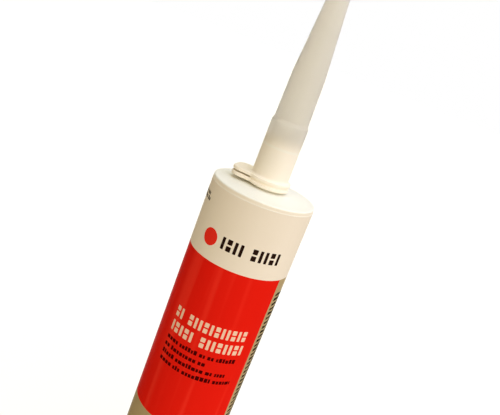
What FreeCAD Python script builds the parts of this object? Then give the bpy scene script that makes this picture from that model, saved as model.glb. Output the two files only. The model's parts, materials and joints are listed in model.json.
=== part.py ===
import FreeCAD, Part
import math
import os

# A sealant cartridge standing on its open rear rim, with the nozzle screwed on to its neck.
# Millimetres. The origin is the centre of the rear rim, and +Z runs up the axis to the nozzle's tip.
# -Y is the front, where the printed panel faces. The nozzle's thumb tab points to the left of it.

# Barrel: one moulding with its shoulder and neck
barrel_radius = 25.0
barrel_wall = 1.75
barrel_length = 215.0
rear_lead_in = 0.6
shoulder_thickness = 2.2
shoulder_edge_radius = 0.8
shoulder_flat_width = 3.0
shoulder_rise = 1.1
neck_radius = 6.9
neck_wall = 1.5
neck_height = 20.7
neck_edge_radius = 0.5
collar_height = 3.5
collar_chamfer = 0.3

# Nozzle: a flange, a skirt over the neck, a second sleeve, and a long taper to the outlet
nozzle_bore_radius = 7.6
nozzle_neck_clearance = 0.3
nozzle_seat_gap = 1.1
nozzle_length = 108.5
nozzle_wall = 1.15
flange_radius = 10.5
flange_edge_radius = 0.4
flange_root_radius = 1.2
skirt_base_radius = 8.9
skirt_top_radius = 8.75
skirt_length = 30.5
step_height = 1.6
sleeve_base_radius = 8.1
sleeve_top_radius = 7.6
sleeve_length = 21.5
tip_radius = 3.3
outlet_radius = 2.0
outlet_length = 6.0

# Thumb tab on the nozzle's flange, split into two leaves by a slot that goes on round the flange as a groove
lower_leaf_thickness = 1.7
upper_leaf_thickness = 1.6
leaf_gap = 0.8
groove_depth = 0.6
tab_reach = 17.4
tab_width = 16.0
tab_corner_radius = 5.0
tab_direction = 168.0

# Piston: a cup, open to the rear, with two wiping lips and a ribbed crown
piston_depth = 16.0
piston_length = 22.0
piston_clearance = 0.2
piston_wall = 1.4
lip_height = 2.6
lip_flare = 1.6
waist_depth = 0.8
crown_thickness = 1.8
crown_edge_radius = 0.5
rib_count = 8
rib_thickness = 1.2
rib_recess = 6.0
hub_radius = 8.0
hub_wall = 1.4
weld_depth = 0.2

# Sealant paste between the piston's crown and the neck's mouth
paste_piston_gap = 0.3
paste_wall_gap = 0.05
paste_below_mouth = 0.6

# Printed film wrapped round the barrel, with its seam at the back
label_thickness = 0.12
label_adhesive = 0.05
label_bottom = 12.0
label_below_shoulder = 2.1
label_seam_gap = 1.0

# Places and radii worked out from the sizes above
chamber_radius = barrel_radius - barrel_wall
flat_radius = barrel_radius - shoulder_flat_width
collar_radius = nozzle_bore_radius - nozzle_neck_clearance
shoulder_slope = shoulder_rise / (flat_radius - collar_radius)
neck_bore_radius = neck_radius - neck_wall
neck_root = barrel_length + shoulder_rise
neck_top = neck_root + neck_height
chamber_top = barrel_length - shoulder_thickness
throat_bottom = chamber_top + shoulder_slope * (flat_radius - neck_bore_radius)
nozzle_bottom = neck_root + nozzle_seat_gap
lower_leaf_top = nozzle_bottom + lower_leaf_thickness
upper_leaf_bottom = lower_leaf_top + leaf_gap
flange_top = upper_leaf_bottom + upper_leaf_thickness
groove_radius = flange_radius - groove_depth
piston_top = piston_depth + piston_length
lip_radius = chamber_radius - piston_clearance
crown_rise = shoulder_slope * (flat_radius - hub_radius)


def corner(before, here, after, radius):
    """Start, middle and end of the arc that rounds the corner at here."""
    to_before = (before - here).normalize()
    to_after = (after - here).normalize()
    half_angle = to_before.getAngle(to_after) / 2
    setback = radius / math.tan(half_angle)
    centre = here + (to_before + to_after).normalize() * (radius / math.sin(half_angle))
    middle = centre + (here - centre).normalize() * radius
    return here + to_before * setback, middle, here + to_after * setback


def closed_wire(points):
    """Closed wire through points, each a (vector, corner radius) pair."""
    count = len(points)
    edges = []
    ends = []
    for i, (here, radius) in enumerate(points):
        if radius > 0:
            start, middle, end = corner(points[i - 1][0], here, points[(i + 1) % count][0], radius)
            edges.append((i, Part.Arc(start, middle, end).toShape()))
            ends.append((start, end))
        else:
            ends.append((here, here))
    for i in range(count):
        run = (ends[i][1], ends[(i + 1) % count][0])
        if run[0].distanceToPoint(run[1]) > 1e-6:
            edges.append((i + 0.5, Part.LineSegment(*run).toShape()))
    edges.sort(key=lambda item: item[0])
    return Part.Wire([edge for _, edge in edges])


def turned(profile):
    """Solid of revolution about Z from (radius, height, corner radius) points."""
    points = [(FreeCAD.Vector(r, 0, z), rounding) for r, z, rounding in profile]
    face = Part.Face(closed_wire(points))
    return face.revolve(FreeCAD.Vector(0, 0, 0), FreeCAD.Vector(0, 0, 1), 360)


def make_barrel():
    return turned([
        (chamber_radius + rear_lead_in, 0, 0),
        (barrel_radius, 0, 0),
        (barrel_radius, barrel_length, shoulder_edge_radius),
        (flat_radius, barrel_length, 0),
        (collar_radius, neck_root, 0),
        (collar_radius, neck_root + collar_height, 0),
        (neck_radius, neck_root + collar_height + collar_chamfer, 0),
        (neck_radius, neck_top, neck_edge_radius),
        (neck_bore_radius, neck_top, neck_edge_radius),
        (neck_bore_radius, throat_bottom, 0),
        (flat_radius, chamber_top, 0),
        (chamber_radius, chamber_top, shoulder_edge_radius / 2),
        (chamber_radius, rear_lead_in, 0),
    ])


def make_nozzle():
    skirt_top = nozzle_bottom + skirt_length
    sleeve_top = skirt_top + step_height + sleeve_length
    tip = nozzle_bottom + nozzle_length
    body = turned([
        (nozzle_bore_radius, nozzle_bottom, 0),
        (flange_radius, nozzle_bottom, flange_edge_radius),
        (flange_radius, lower_leaf_top, flange_edge_radius),
        (groove_radius, lower_leaf_top, 0),
        (groove_radius, upper_leaf_bottom, 0),
        (flange_radius, upper_leaf_bottom, flange_edge_radius),
        (flange_radius, flange_top, flange_edge_radius),
        (skirt_base_radius, flange_top, flange_root_radius),
        (skirt_top_radius, skirt_top, 0),
        (sleeve_base_radius, skirt_top + step_height, 0),
        (sleeve_top_radius, sleeve_top, 0),
        (tip_radius, tip, 0),
        (outlet_radius, tip, 0),
        (outlet_radius, tip - outlet_length, 0),
        (sleeve_top_radius - nozzle_wall, sleeve_top, 0),
        (sleeve_base_radius - nozzle_wall, skirt_top, 0),
        (nozzle_bore_radius, skirt_top - step_height, 0),
    ])
    leaves = [
        make_leaf(nozzle_bottom, lower_leaf_thickness),
        make_leaf(upper_leaf_bottom, upper_leaf_thickness),
    ]
    return body.fuse(leaves).removeSplitter()


def make_leaf(bottom, thickness):
    """One leaf of the thumb tab, with its inner end inside the flange."""
    side = tab_width / 2
    inner = (nozzle_bore_radius + groove_radius) / 2
    plan = closed_wire([
        (FreeCAD.Vector(0, -side, bottom), 0),
        (FreeCAD.Vector(tab_reach, -side, bottom), tab_corner_radius),
        (FreeCAD.Vector(tab_reach, side, bottom), tab_corner_radius),
        (FreeCAD.Vector(0, side, bottom), 0),
    ])
    plate = Part.Face(plan).extrude(FreeCAD.Vector(0, 0, thickness))
    rim = [e for e in plate.Edges if e.BoundBox.ZLength < 1e-6 and e.BoundBox.XMax > inner]
    plate = plate.makeFillet(flange_edge_radius, rim)
    leaf = plate.cut(Part.makeCylinder(inner, thickness, FreeCAD.Vector(0, 0, bottom)))
    leaf.rotate(FreeCAD.Vector(0, 0, 0), FreeCAD.Vector(0, 0, 1), tab_direction)
    return leaf


def crown_line(lift):
    """The crown's outer half, from the axis to the wall, raised by lift."""
    return [
        (0, piston_top + crown_rise + lift, 0),
        (hub_radius, piston_top + crown_rise + lift, 0),
        (flat_radius, piston_top + lift, 0),
    ]


def make_piston():
    waist_radius = lip_radius - waist_depth
    inside_radius = waist_radius - piston_wall
    rear = piston_depth
    cup = turned(crown_line(0) + [
        (lip_radius, piston_top, crown_edge_radius),
        (lip_radius, piston_top - lip_height, 0),
        (waist_radius, piston_top - lip_height - lip_flare, 0),
        (waist_radius, rear + lip_height + lip_flare, 0),
        (lip_radius, rear + lip_height, 0),
        (lip_radius, rear, 0),
        (inside_radius, rear, 0),
        (inside_radius, piston_top - crown_thickness, 0),
        (hub_radius, piston_top - crown_thickness + crown_rise, 0),
        (0, piston_top - crown_thickness + crown_rise, 0),
    ])
    weld_radius = inside_radius + weld_depth
    weld_top = piston_top - crown_thickness + weld_depth
    cavity = turned([
        (0, rear + rib_recess, 0),
        (weld_radius, rear + rib_recess, 0),
        (weld_radius, weld_top, 0),
        (hub_radius, weld_top + crown_rise, 0),
        (0, weld_top + crown_rise, 0),
    ])
    tall = piston_length + crown_rise
    base = FreeCAD.Vector(0, 0, rear)
    hub = Part.makeCylinder(hub_radius, tall, base).cut(Part.makeCylinder(hub_radius - hub_wall, tall, base))
    parts = [hub.common(cavity)]
    for i in range(rib_count):
        start = FreeCAD.Vector(hub_radius - hub_wall / 2, -rib_thickness / 2, rear)
        rib = Part.makeBox(weld_radius, rib_thickness, tall, start)
        rib.rotate(FreeCAD.Vector(0, 0, 0), FreeCAD.Vector(0, 0, 1), i * 360 / rib_count)
        parts.append(rib.common(cavity))
    return cup.fuse(parts).removeSplitter()


def make_sealant():
    paste_radius = chamber_radius - paste_wall_gap
    throat_radius = neck_bore_radius - paste_wall_gap
    return turned(crown_line(paste_piston_gap) + [
        (paste_radius, piston_top + paste_piston_gap, 0),
        (paste_radius, chamber_top - paste_wall_gap, shoulder_edge_radius / 2),
        (flat_radius, chamber_top - paste_wall_gap, 0),
        (throat_radius, throat_bottom - paste_wall_gap, 0),
        (throat_radius, neck_top - paste_below_mouth, 0),
        (0, neck_top - paste_below_mouth, 0),
    ])


def make_label():
    height = barrel_length - label_below_shoulder - label_bottom
    base = FreeCAD.Vector(0, 0, label_bottom)
    inner_radius = barrel_radius + label_adhesive
    outside = Part.makeCylinder(inner_radius + label_thickness, height, base)
    film = outside.cut(Part.makeCylinder(inner_radius, height, base))
    seam_start = FreeCAD.Vector(-label_seam_gap / 2, 0, label_bottom)
    seam = Part.makeBox(label_seam_gap, inner_radius + 2 * label_thickness, height, seam_start)
    return film.cut(seam)


def main():
    os.makedirs("parts", exist_ok=True)
    shapes = {
        "barrel": make_barrel(),
        "nozzle": make_nozzle(),
        "piston": make_piston(),
        "sealant": make_sealant(),
        "label": make_label(),
    }
    for name, shape in shapes.items():
        shape = shape.Solids[0] if len(shape.Solids) == 1 else shape
        shape.exportStep(os.path.join("parts", name + ".step"))
        print(name, "solids", len(shape.Solids), "valid", shape.isValid(), "cm3", round(shape.Volume / 1000, 3))
    print("piston stroke", round(chamber_top - piston_top - paste_piston_gap, 2))
    print("height", round(nozzle_bottom + nozzle_length, 2))


main()
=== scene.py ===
import json
import math
import random

import bmesh
import bpy
from mathutils import Matrix, Vector


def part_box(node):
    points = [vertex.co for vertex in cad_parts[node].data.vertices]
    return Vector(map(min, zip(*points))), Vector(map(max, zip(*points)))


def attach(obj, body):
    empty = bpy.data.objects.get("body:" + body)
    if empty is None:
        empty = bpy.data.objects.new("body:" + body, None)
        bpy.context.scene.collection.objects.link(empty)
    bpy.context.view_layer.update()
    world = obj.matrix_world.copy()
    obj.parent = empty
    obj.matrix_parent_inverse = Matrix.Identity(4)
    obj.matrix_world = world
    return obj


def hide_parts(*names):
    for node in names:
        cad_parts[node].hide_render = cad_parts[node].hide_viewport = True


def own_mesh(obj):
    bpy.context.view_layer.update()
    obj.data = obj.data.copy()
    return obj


# A sealant cartridge stands upright on its open rear rim, seen from a little above its shoulder.
# Metres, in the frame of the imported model. -Y is the front of the print.
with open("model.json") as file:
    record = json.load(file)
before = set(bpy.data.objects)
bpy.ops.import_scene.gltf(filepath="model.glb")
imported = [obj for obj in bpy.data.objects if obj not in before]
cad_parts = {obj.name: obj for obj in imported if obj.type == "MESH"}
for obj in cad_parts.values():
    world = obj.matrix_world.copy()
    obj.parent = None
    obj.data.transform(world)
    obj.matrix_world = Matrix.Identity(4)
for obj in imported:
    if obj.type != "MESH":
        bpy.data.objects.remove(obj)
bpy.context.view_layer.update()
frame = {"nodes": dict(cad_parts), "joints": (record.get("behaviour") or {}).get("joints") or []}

MM = 0.001
random.seed(7)


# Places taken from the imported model

_, barrel_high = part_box("barrel")
label_low, label_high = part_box("label")
_, piston_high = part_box("piston")
paste_low, paste_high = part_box("sealant")
piston_stroke = next(j for j in frame["joints"] if j["name"] == "piston_slide")["range_m"][1]


# Sizes of the moulded pieces

barrel_radius = 25.0 * MM
chamber_radius = 23.25 * MM
shoulder_height = 215.0 * MM
shoulder_wall = 2.2 * MM
neck_radius = 6.9 * MM
neck_bore_radius = 5.4 * MM
neck_top = barrel_high.z
socket_radius = 7.6 * MM


# The printed film: heights above the rear rim, and turns about the axis from the front in degrees

ink_height = 0.03 * MM
ink_sink = 0.02 * MM
film_radius = label_high.x - ink_height
film_bottom = label_low.z
film_top = label_high.z
red_bottom = 93.7 * MM
red_top = 179.9 * MM
red_left = -150.0
red_right = 60.0


# The paste: a column that ends just above the highest place of the piston's crown, and a plug from there up

paste_gap = 0.05 * MM
piston_gap = 0.3 * MM
throat_radius = neck_bore_radius - paste_gap
column_end = piston_high.z + piston_stroke + 2 * piston_gap


def linear(red, green, blue):
    """Shader colour from the 0 to 255 values of a screen colour."""
    shares = [value / 255 for value in (red, green, blue)]
    return (*[s / 12.92 if s <= 0.04045 else ((s + 0.055) / 1.055) ** 2.4 for s in shares], 1.0)


# Shader maths

class Socket:
    """A shader output that adds its own Math nodes when Python arithmetic is done on it."""

    def __init__(self, nodes, output):
        self.nodes = nodes
        self.output = output

    def math(self, operation, first, second=0.0):
        return self.nodes.node("Math", {"operation": operation}, {0: first, 1: second})

    def __add__(self, other):
        return self.math("ADD", self, other)

    def __radd__(self, other):
        return self.math("ADD", other, self)

    def __sub__(self, other):
        return self.math("SUBTRACT", self, other)

    def __rsub__(self, other):
        return self.math("SUBTRACT", other, self)

    def __mul__(self, other):
        return self.math("MULTIPLY", self, other)

    def __rmul__(self, other):
        return self.math("MULTIPLY", other, self)

    def __abs__(self):
        return self.math("ABSOLUTE", self)

    def larger(self, other):
        return self.math("MAXIMUM", self, other)

    def rise(self, low, high):
        """0 below low and 1 above high, with a smooth step between."""
        settings = {"interpolation_type": "SMOOTHSTEP"}
        return self.nodes.node("MapRange", settings, {"Value": self, "From Min": low, "From Max": high})

    def band(self, low, high, soft):
        """1 between low and high, and 0 outside, with edges soft wide."""
        return self.rise(low - soft / 2, low + soft / 2) * (1 - self.rise(high - soft / 2, high + soft / 2))


class Nodes:
    """The shader nodes of one material or world."""

    def __init__(self, owner):
        owner.use_nodes = True
        self.tree = owner.node_tree

    def fill(self, node, values, output=0):
        """One output of a node, once each input in values has its value or its link."""
        for key, value in values.items():
            if isinstance(value, Socket):
                self.tree.links.new(value.output, node.inputs[key])
            else:
                node.inputs[key].default_value = value
        return Socket(self, node.outputs[output])

    def node(self, kind, settings=None, values=None, output=0):
        made = self.tree.nodes.new("ShaderNode" + kind)
        for key, value in (settings or {}).items():
            setattr(made, key, value)
        return self.fill(made, values or {}, output)

    def show(self, shader, output_node):
        self.tree.links.new(shader.output, self.tree.nodes[output_node].inputs["Surface"])

    def seen_ray(self):
        """1 for a ray from the camera, off gloss or through glass."""
        kinds = ("Is Camera Ray", "Is Glossy Ray", "Is Transmission Ray")
        camera, gloss, glass = [self.node("LightPath", output=kind) for kind in kinds]
        return camera.larger(gloss.larger(glass))


class Paint(Nodes):
    """One material with a Principled shader, and the coordinates of the piece in millimetres."""

    def __init__(self, name, constants):
        self.material = bpy.data.materials.new(name)
        super().__init__(self.material)
        self.shader = self.tree.nodes["Principled BSDF"]
        self.solid = self.fill(self.shader, constants)

    def feed(self, socket, value):
        self.fill(self.shader, {socket: value})

    def place(self):
        """The point in millimetres."""
        point = self.node("TexCoord", output="Object")
        return self.node("VectorMath", {"operation": "SCALE"}, {0: point, "Scale": 1 / MM})

    def along(self, place, axis):
        """The point's coordinate along X, Y or Z."""
        return self.node("SeparateXYZ", None, {0: place}, axis)

    def around(self, place):
        """Turn about the axis from the front, in degrees, growing to the right."""
        x = self.along(place, "X")
        y = self.along(place, "Y")
        return x.math("ARCTAN2", x, 0 - y) * (180 / math.pi)

    def noise(self, place, size, detail=2.0, stretch=(1, 1, 1)):
        """Noise of about the given size in millimetres, from 0 to 1."""
        scale = [share / size for share in stretch]
        scaled = self.node("VectorMath", {"operation": "MULTIPLY"}, {0: place, 1: scale})
        return self.node("TexNoise", None, {"Vector": scaled, "Scale": 1.0, "Detail": detail})

    def mix(self, first, second, share):
        """Colour between first and second: inputs 6 and 7 of the Mix node, and its output 2."""
        return self.node("Mix", {"data_type": "RGBA"}, {0: share, 6: first, 7: second}, output=2)

    def bump(self, height, distance):
        """Normal of a relief with a height of 0 to 1 over a distance in metres."""
        return self.node("Bump", None, {"Distance": distance, "Height": height})


# Finishes

def barrel_plastic():
    """White moulded polyethylene with a soft gloss and a faint mottle, and painted light: its flat top is
    painted whiter than its creamier wall, for stronger light from above.
    """
    paint = Paint("barrel_plastic", {"IOR": 1.5, "Specular IOR Level": 0.15})
    place = paint.place()
    mottle = paint.noise(place, size=9.0, detail=3.0)
    grain = paint.noise(place, size=0.5)
    shoulder_edge = shoulder_height / MM
    # Painted light: the shoulder's flat top takes a whiter colour than the wall, as if lit more strongly
    # from above.
    painted_top_light = paint.along(place, "Z").rise(shoulder_edge - 0.9, shoulder_edge - 0.2)
    side_lit_wall_colour = paint.mix(linear(251, 239, 214), linear(254, 243, 220), mottle)
    painted_top_light_colour = paint.mix(linear(248, 246, 231), linear(250, 248, 237), mottle)
    paint.feed("Base Color", paint.mix(side_lit_wall_colour, painted_top_light_colour, painted_top_light))
    paint.feed("Roughness", 0.36 + mottle * 0.1)
    paint.feed("Normal", paint.bump(grain * 0.4 + mottle * 0.6, 0.04 * MM))
    return paint.material


def nozzle_plastic():
    """Natural polyethylene with two parting lines, creamy where the neck is inside and see-through above,
    with a painted highlight band where the top of the neck shows through.
    """
    paint = Paint("nozzle_plastic", {"IOR": 1.45, "Specular IOR Level": 0.25})
    place = paint.place()
    height = paint.along(place, "Z")
    neck_end = neck_top / MM
    above_neck = height.rise(neck_end - 1.0, neck_end + 7.0)
    # Painted highlight: a lighter band on the nozzle where the top of the neck shows through its wall.
    painted_neck_highlight = height.band(neck_end - 1.0, neck_end + 0.1, soft=0.8)
    parting_line = 1 - abs(paint.along(place, "Y")).rise(0.06, 0.2)
    mottle = paint.noise(place, size=7.0, detail=3.0)
    grain = paint.noise(place, size=0.35)
    rough = 0.46 + mottle * 0.12
    relief = parting_line * 0.6 + grain * 0.3
    relief_depth = 0.06 * MM
    cream = paint.mix(linear(255, 244, 222), linear(255, 247, 228), mottle)
    paint.feed("Base Color", paint.mix(cream, linear(255, 252, 236), painted_neck_highlight * 0.5))
    paint.feed("Roughness", rough)
    paint.feed("Normal", paint.bump(relief, relief_depth))
    thin_wall = paint.node("BsdfPrincipled", None, {
        "Base Color": paint.mix(linear(236, 233, 225), linear(240, 237, 229), mottle),
        "Roughness": rough,
        "IOR": 1.35,
        "Specular IOR Level": 0.2,
        "Transmission Weight": 0.8,
        "Normal": paint.bump(relief, relief_depth),
    })
    wall = paint.node("MixShader", None, {0: above_neck * 0.9, 1: paint.solid, 2: thin_wall})
    paint.show(wall, "Material Output")
    return paint.material


def piston_plastic():
    """Waxy natural polyethylene."""
    constants = {"IOR": 1.5, "Specular IOR Level": 0.4, "Subsurface Weight": 0.3, "Subsurface Scale": 2 * MM}
    paint = Paint("piston_plastic", constants)
    mottle = paint.noise(paint.place(), size=4.0, detail=3.0)
    paint.feed("Base Color", paint.mix(linear(226, 226, 219), linear(238, 238, 232), mottle))
    paint.feed("Roughness", 0.42 + mottle * 0.12)
    paint.feed("Normal", paint.bump(mottle, 0.05 * MM))
    return paint.material


def printed_film():
    """Smooth film, white at the top and tan below, with one red field that ends before the fine print, a
    painted highlight along its top edge and painted gloss streaks on the red.
    """
    paint = Paint("printed_film", {"IOR": 1.5, "Specular IOR Level": 0.001})
    place = paint.place()
    height = paint.along(place, "Z")
    turn = paint.around(place)
    edge = 0.12
    red = height.band(red_bottom / MM, red_top / MM, edge) * turn.band(red_left, red_right, edge * 2)
    tan = 1 - height.rise(red_top / MM - edge / 2, red_top / MM + edge / 2)
    top_edge = film_top / MM
    # Painted highlight: a paler band just below the film's top edge.
    painted_top_edge_highlight = height.rise(top_edge - 0.45, top_edge - 0.25)
    flow = paint.noise(place, size=14.0, detail=3.0, stretch=(1, 1, 0.25))
    # Painted reflection: soft upright lighter streaks in the red stand in for gloss streaks off the film.
    painted_gloss_streak = paint.noise(place, size=5.5, detail=1.0, stretch=(1, 1, 0.05)).rise(0.5, 0.72)
    peel = paint.noise(place, size=1.6)
    white_colour = paint.mix(linear(247, 233, 208), linear(251, 238, 215), flow)
    tan_colour = paint.mix(linear(184, 161, 114), linear(192, 170, 124), flow)
    red_colour = paint.mix(linear(235, 28, 15), linear(241, 34, 19), flow)
    red_colour = paint.mix(red_colour, linear(250, 54, 36), painted_gloss_streak * 0.75)
    colour = paint.mix(white_colour, linear(255, 250, 235), painted_top_edge_highlight * 0.7)
    colour = paint.mix(colour, tan_colour, tan)
    paint.feed("Base Color", paint.mix(colour, red_colour, red))
    paint.feed("Roughness", 0.1 + flow * 0.05)
    paint.feed("Normal", paint.bump(peel * 0.5 + flow * 0.5, 0.05 * MM))
    return paint.material


def ink(name, dark, light, roughness):
    """Printing ink with the small unevenness of its body."""
    paint = Paint(name, {"IOR": 1.5, "Specular IOR Level": 0.001})
    speckle = paint.noise(paint.place(), size=0.8, detail=3.0)
    paint.feed("Base Color", paint.mix(dark, light, speckle))
    paint.feed("Roughness", roughness + speckle * 0.1)
    return paint.material


def floor_finish():
    """Matt grey that takes the shadow, with a glow that makes it white where it is seen."""
    paint = Paint("floor", {"Base Color": (0.5, 0.48, 0.42, 1), "Roughness": 1.0, "Specular IOR Level": 0.0})
    glow = paint.node("Emission", None, {"Strength": 0.62})
    glowing = paint.node("AddShader", None, {0: paint.solid, 1: glow})
    either = paint.node("MixShader", None, {0: paint.seen_ray(), 1: paint.solid, 2: glowing})
    paint.show(either, "Material Output")
    return paint.material


def plain_material(slot):
    """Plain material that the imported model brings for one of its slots."""
    return bpy.data.materials[slot]


# Meshes

def new_piece(name, bm, material, body, smooth_angle=40):
    """Object made from bm, with smooth faces up to an angle, riding on a body."""
    bmesh.ops.recalc_face_normals(bm, faces=bm.faces)
    mesh = bpy.data.meshes.new(name)
    for face in bm.faces:
        face.smooth = True
    limit = math.radians(smooth_angle)
    for edge in bm.edges:
        if len(edge.link_faces) == 2 and edge.calc_face_angle(0.0) > limit:
            edge.smooth = False
    bm.to_mesh(mesh)
    bm.free()
    mesh.materials.append(material)
    piece = bpy.data.objects.new(name, mesh)
    bpy.context.scene.collection.objects.link(piece)
    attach(piece, body)
    return piece


def on_cylinder(turn, radius, height):
    """Point at a turn in degrees from the front."""
    angle = math.radians(turn)
    return Vector((radius * math.sin(angle), -radius * math.cos(angle), height))


def add_tube(bm, rings):
    """Skin over a row of equal closed rings of vertices, with a cap at each end."""
    for here, there in zip(rings, rings[1:]):
        for j in range(len(here)):
            k = (j + 1) % len(here)
            bm.faces.new((here[j], here[k], there[k], there[j]))
    bm.faces.new(rings[0])
    bm.faces.new(list(reversed(rings[-1])))


def add_open_lathe(bm, profile, count, first, last):
    """Closed outline of (radius, height) turned about the axis between two turns in degrees."""
    rings = []
    for i in range(count + 1):
        turn = first + (last - first) * i / count
        rings.append([bm.verts.new(on_cylinder(turn, r, z)) for r, z in profile])
    add_tube(bm, rings)


def add_full_lathe(bm, profile, count):
    """Open outline that starts and ends on the axis, turned into a closed solid."""
    bottom = bm.verts.new((0, 0, profile[0][1]))
    top = bm.verts.new((0, 0, profile[-1][1]))
    rings = []
    for i in range(count):
        turn = 360 * i / count
        rings.append([bm.verts.new(on_cylinder(turn, r, z)) for r, z in profile[1:-1]])
    for i in range(count):
        here = rings[i]
        there = rings[(i + 1) % count]
        bm.faces.new((bottom, there[0], here[0]))
        for j in range(len(here) - 1):
            bm.faces.new((here[j], there[j], there[j + 1], here[j + 1]))
        bm.faces.new((here[-1], there[-1], top))


# Printed shapes: thin closed patches that follow the film

def arc(turn):
    """Distance round the film at a turn in degrees."""
    return math.radians(turn) * film_radius


def add_patch(bm, columns):
    """Closed patch on the film from columns of (distance round the film, low, high)."""
    inner = film_radius - ink_sink
    outer = film_radius + ink_height
    rings = []
    for distance, low, high in columns:
        turn = math.degrees(distance / film_radius)
        corners = ((inner, low), (inner, high), (outer, high), (outer, low))
        rings.append([bm.verts.new(on_cylinder(turn, r, z)) for r, z in corners])
    add_tube(bm, rings)


def add_bar(bm, left, right, low, high):
    """Upright rectangle with rounded corners."""
    corner = 0.25 * MM
    corner_steps = 4
    widest_column = 0.8 * MM
    insets = []
    for i in range(corner_steps):
        angle = math.pi / 2 * i / corner_steps
        insets.append((corner * (1 - math.cos(angle)), corner * (1 - math.sin(angle))))
    start = [(left + across, low + up, high - up) for across, up in insets]
    end = [(right - across, low + up, high - up) for across, up in reversed(insets)]
    straight = right - left - 2 * corner
    count = max(1, math.ceil(straight / widest_column))
    middle = [(left + corner + straight * i / count, low, high) for i in range(count + 1)]
    add_patch(bm, start + middle + end)


def add_disc(bm, centre, height, radius):
    """Round patch, cut off just before its left and right ends so that no column has a height of nothing."""
    steps = 24
    cut_share = 0.02
    columns = []
    for i in range(steps + 1):
        angle = math.pi * (cut_share + (1 - 2 * cut_share) * i / steps)
        rise = radius * math.sin(angle)
        columns.append((centre - radius * math.cos(angle), height - rise, height + rise))
    add_patch(bm, columns)


def add_marks(bm, left, right, low, high, marks, gap):
    """Row of marks from left to right: I is a slim bar, = a stacked pair and _ a space."""
    widths = {"I": 0.62, "=": 1.0, "_": 0.8}
    stacked_share = 0.43
    unit = (right - left - gap * (len(marks) - 1)) / sum(widths[mark] for mark in marks)
    stacked = stacked_share * (high - low)
    at = left
    for mark in marks:
        end = at + widths[mark] * unit
        if mark == "I":
            add_bar(bm, at, end, low, high)
        if mark == "=":
            add_bar(bm, at, end, low, low + stacked)
            add_bar(bm, at, end, high - stacked, high)
        at = end + gap


def add_words(bm, left, right, low, high, block, gap):
    """Row of words, each of 2 to 8 small blocks of uneven width and height, from left to about right."""
    narrowest = 0.65
    widest = 1.45
    least_width = 0.4 * block
    extra_heights = (0.0, 0.0, 0.28)
    word_gap = 2.2 * gap
    at = left
    while at < right - 2 * block:
        for i in range(random.randint(2, 8)):
            width = min(block * random.uniform(narrowest, widest), right - at)
            if width < least_width:
                break
            top = high + (high - low) * random.choice(extra_heights)
            add_patch(bm, [(at, low, top), (at + width, low, top)])
            at += width + gap
        at += word_gap


# Pieces

def dress(node, material):
    """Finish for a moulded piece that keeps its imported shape."""
    materials = frame["nodes"][node].data.materials
    materials.clear()
    materials.append(material)


def make_film():
    """Film round the barrel, open along the seam at the back."""
    edge = 0.05 * MM
    adhesive = 0.01 * MM
    half_seam = 0.5 * MM
    inner = barrel_radius + adhesive
    profile = [
        (inner, film_bottom),
        (film_radius - edge, film_bottom),
        (film_radius, film_bottom + edge),
        (film_radius, film_top - edge),
        (film_radius - edge, film_top),
        (inner, film_top),
    ]
    seam_turn = math.degrees(half_seam / film_radius)
    bm = bmesh.new()
    add_open_lathe(bm, profile, count=240, first=-180 + seam_turn, last=180 - seam_turn)
    piece = new_piece("label_film", bm, printed_film(), "barrel")
    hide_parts("label")


def make_dark_print():
    """Row of dark marks on the white part of the film."""
    bm = bmesh.new()
    add_marks(bm, arc(-22), arc(44), 187.8 * MM, 193.6 * MM, "I=II_=II=I", 1.25 * MM)
    dark_ink = ink("dark_ink", linear(34, 18, 12), linear(48, 28, 20), roughness=0.4)
    new_piece("print_dark", bm, dark_ink, "barrel")


def make_small_print():
    """Four rows of small words low on the red field, each with its height and its right end in degrees."""
    tall = 1.75 * MM
    bm = bmesh.new()
    for height, right in ((134.4, 42), (130.4, 15), (126.4, 35.4), (122.4, 44.4)):
        low = height * MM
        add_words(bm, arc(-46), arc(right), low, low + tall, block=1.3 * MM, gap=0.42 * MM)
    small_ink = ink("small_ink", linear(66, 4, 4), linear(84, 7, 6), roughness=0.4)
    new_piece("print_small", bm, small_ink, "barrel")


def make_pale_print():
    """Two rows of pale marks on the red field."""
    left = arc(-45.4)
    gap = 1.15 * MM
    bm = bmesh.new()
    add_marks(bm, left, arc(42), 146.8 * MM, 152.2 * MM, "=I_=II=I=II=I=", gap)
    add_marks(bm, left, arc(43.5), 139.2 * MM, 144.5 * MM, "I=I=I_=II=II=I", gap)
    pale_ink = ink("pale_ink", linear(250, 205, 170), linear(255, 216, 184), roughness=0.38)
    new_piece("print_pale", bm, pale_ink, "barrel")


def make_disc():
    """Plain red disc at the left of the dark marks."""
    bm = bmesh.new()
    add_disc(bm, arc(-37.5), 190.2 * MM, 4.1 * MM)
    disc_ink = ink("disc_ink", linear(244, 48, 32), linear(250, 54, 37), roughness=0.35)
    new_piece("print_disc", bm, disc_ink, "barrel")


def make_fine_print():
    """Rows of fine print beside the red field, in columns round the back, and two short ones higher up."""
    bm = bmesh.new()
    top_row = 171.8 * MM
    lowest_row = film_bottom + 8 * MM
    pitch = 2.6 * MM
    row_height = 1.3 * MM
    last_row_share = 0.55
    # Left and right edge in degrees, rows to a paragraph, and the step after its last row in pitches
    columns = (
        (64.5, 128.0, 9, 1.0),
        (134.0, 174.0, 7, 1.8),
        (-174.0, -156.0, 11, 1.0),
    )
    for left, right, paragraph, last_step in columns:
        width = arc(right) - arc(left)
        height = top_row
        row = 0
        while height > lowest_row:
            row += 1
            is_last = row % paragraph == 0
            end = arc(left) + width * (last_row_share if is_last else random.uniform(0.93, 1.0))
            add_words(bm, arc(left), end, height - row_height, height, block=1.5 * MM, gap=0.18 * MM)
            height -= pitch * (last_step if is_last else 1.0)

    short_row_height = 1.4 * MM
    for low in (203.6 * MM, 205.9 * MM):
        add_words(bm, arc(-150), arc(-58), low, low + short_row_height, block=0.8 * MM, gap=0.5 * MM)
    fine_ink = ink("fine_ink", linear(22, 17, 10), linear(34, 27, 17), roughness=0.45)
    new_piece("print_fine", bm, fine_ink, "barrel")


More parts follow.
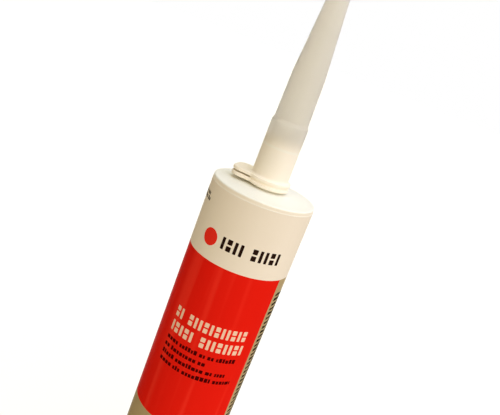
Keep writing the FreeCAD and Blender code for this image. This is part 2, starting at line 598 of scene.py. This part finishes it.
def add_thread(bm, start, pitch, turns, root, crest, phase):
    """Right-handed ridge between the root's and the crest's radius that fades in and out at its ends."""
    steps_per_turn = 60
    fade_steps = 0.35 * steps_per_turn
    least_fade = 0.02
    half_root = 0.75 * MM
    half_crest = 0.3 * MM
    count = int(turns * steps_per_turn)
    rings = []
    for i in range(count + 1):
        fade = max(least_fade, min(1.0, i / fade_steps, (count - i) / fade_steps))
        reach = root + (crest - root) * fade
        height = start + pitch * i / steps_per_turn
        turn = phase + 360 * i / steps_per_turn
        section = ((root, -half_root), (reach, -half_crest), (reach, half_crest), (root, half_root))
        rings.append([bm.verts.new(on_cylinder(turn, r, height + z)) for r, z in section])
    add_tube(bm, rings)


def make_threads():
    """Ridge round the neck, and the one inside the nozzle's socket, half a turn from it."""
    pitch = 3.0 * MM
    turns = 4.6
    end_gap = 1.6 * MM
    start = neck_top - end_gap - pitch * turns
    root_sink = 0.05 * MM
    neck_ridge = 0.4 * MM
    socket_ridge = 0.24 * MM
    bm = bmesh.new()
    add_thread(bm, start, pitch, turns, neck_radius - root_sink, neck_radius + neck_ridge, phase=0)
    ridge = new_piece("neck_thread", bm, plain_material("barrel_plastic"), "barrel", smooth_angle=60)
    bm = bmesh.new()
    add_thread(bm, start, pitch, turns, socket_radius + root_sink, socket_radius - socket_ridge, phase=180)
    ridge = new_piece("socket_thread", bm, plain_material("nozzle_plastic"), "nozzle", smooth_angle=60)


def make_paste_column():
    """Paste in the chamber. Its rear follows the piston's crown."""
    hub_radius = 8.0 * MM
    slope_radius = 22.0 * MM
    wall_radius = chamber_radius - paste_gap
    crown_end = piston_high.z + piston_gap
    chamber_end = shoulder_height - shoulder_wall - paste_gap
    profile = [
        (0, crown_end),
        (hub_radius, crown_end),
        (slope_radius, paste_low.z),
        (wall_radius, paste_low.z),
        (wall_radius, chamber_end),
        (slope_radius, chamber_end),
        (throat_radius, column_end),
        (0, column_end),
    ]
    bm = bmesh.new()
    add_full_lathe(bm, profile, count=96)
    column = new_piece("paste_column", bm, plain_material("paste"), "barrel")
    length = column_end - crown_end
    keep = (length - piston_stroke) / length
    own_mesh(column)
    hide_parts("sealant")


def make_paste_plug():
    """Paste in the neck, with a rounded top edge."""
    top = paste_high.z
    edge = 0.5 * MM
    edge_steps = 6
    profile = [(0, column_end), (throat_radius, column_end), (throat_radius, top - edge)]
    for i in range(1, edge_steps):
        angle = math.pi / 2 * i / edge_steps
        profile.append((throat_radius - edge * (1 - math.cos(angle)), top - edge * (1 - math.sin(angle))))
    profile += [(throat_radius - edge, top), (0, top)]
    bm = bmesh.new()
    add_full_lathe(bm, profile, count=64)
    plug = new_piece("paste_plug", bm, plain_material("paste"), "barrel")


# Camera, light and floor

def place_camera():
    """Camera a little above the shoulder, turned so that the tube leans to the right."""
    position = Vector((0.0, -0.2752, 0.2800))
    target = Vector((-0.0035, 0.0, 0.2039))
    roll = math.radians(20.97)
    photo_pixels = 500
    focal_pixels = 599.8
    forward = (target - position).normalized()
    level = forward.cross(Vector((0, 0, 1))).normalized()
    upright = level.cross(forward)
    right = level * math.cos(roll) + upright * math.sin(roll)
    up = right.cross(forward)
    data = bpy.data.cameras.new("camera")
    data.sensor_width = 36.0
    data.lens = focal_pixels / photo_pixels * data.sensor_width
    data.clip_start = 0.01
    data.clip_end = 20
    camera = bpy.data.objects.new("camera", data)
    camera.matrix_world = Matrix.Translation(position) @ Matrix((right, up, -forward)).transposed().to_4x4()
    bpy.context.scene.collection.objects.link(camera)
    bpy.context.scene.camera = camera


def add_sun(name, turn, height, strength, spread, colour):
    """Distant light from a turn to the right of the front and a height above the level, in degrees."""
    data = bpy.data.lights.new(name, "SUN")
    data.energy = strength
    data.angle = math.radians(spread)
    data.color = colour
    lamp = bpy.data.objects.new(name, data)
    toward = on_cylinder(turn, math.cos(math.radians(height)), math.sin(math.radians(height)))
    lamp.rotation_euler = toward.to_track_quat("Z", "Y").to_euler()
    bpy.context.scene.collection.objects.link(lamp)


def light_scene():
    """Wide warm key from the upper right, a cool one inside it, and weak ones from front, top and left."""
    add_sun("key", turn=58, height=50, strength=2.57, spread=120, colour=(1.0, 0.91, 0.7))
    add_sun("window", turn=58, height=50, strength=0.98, spread=80, colour=(0.1, 0.25, 1.0))
    add_sun("front", turn=8, height=12, strength=0.55, spread=70, colour=(1.0, 0.9, 0.76))
    add_sun("top", turn=20, height=86, strength=0.45, spread=50, colour=(0.75, 1.0, 1.0))
    add_sun("fill", turn=-85, height=12, strength=0.2, spread=100, colour=(1.0, 0.5, 0.2))


def light_world():
    """Weak warm light from all round, and a backdrop that is seen as white."""
    world = bpy.data.worlds.new("world")
    bpy.context.scene.world = world
    nodes = Nodes(world)
    background = nodes.tree.nodes["Background"]
    ambient = nodes.fill(background, {"Color": (1.0, 0.88, 0.55, 1.0), "Strength": 0.16})
    backdrop = nodes.node("Background", None, {"Color": (1, 1, 1, 1)})
    either = nodes.node("MixShader", None, {0: nodes.seen_ray(), 1: ambient, 2: backdrop})
    nodes.show(either, "World Output")


def make_floor():
    """Pale floor that is seen as white, apart from the object's shadow."""
    half = 40.0
    mesh = bpy.data.meshes.new("floor")
    corners = [(-half, -half, 0), (half, -half, 0), (half, half, 0), (-half, half, 0)]
    mesh.from_pydata(corners, [], [(0, 1, 2, 3)])
    mesh.materials.append(floor_finish())
    floor = bpy.data.objects.new("floor", mesh)
    bpy.context.scene.collection.objects.link(floor)


bpy.context.scene.view_settings.view_transform = "Standard"
place_camera()
light_scene()
light_world()
make_floor()
dress("barrel", barrel_plastic())
dress("nozzle", nozzle_plastic())
dress("piston", piston_plastic())
make_film()
make_dark_print()
make_small_print()
make_pale_print()
make_disc()
make_fine_print()
make_threads()
make_paste_column()
make_paste_plug()
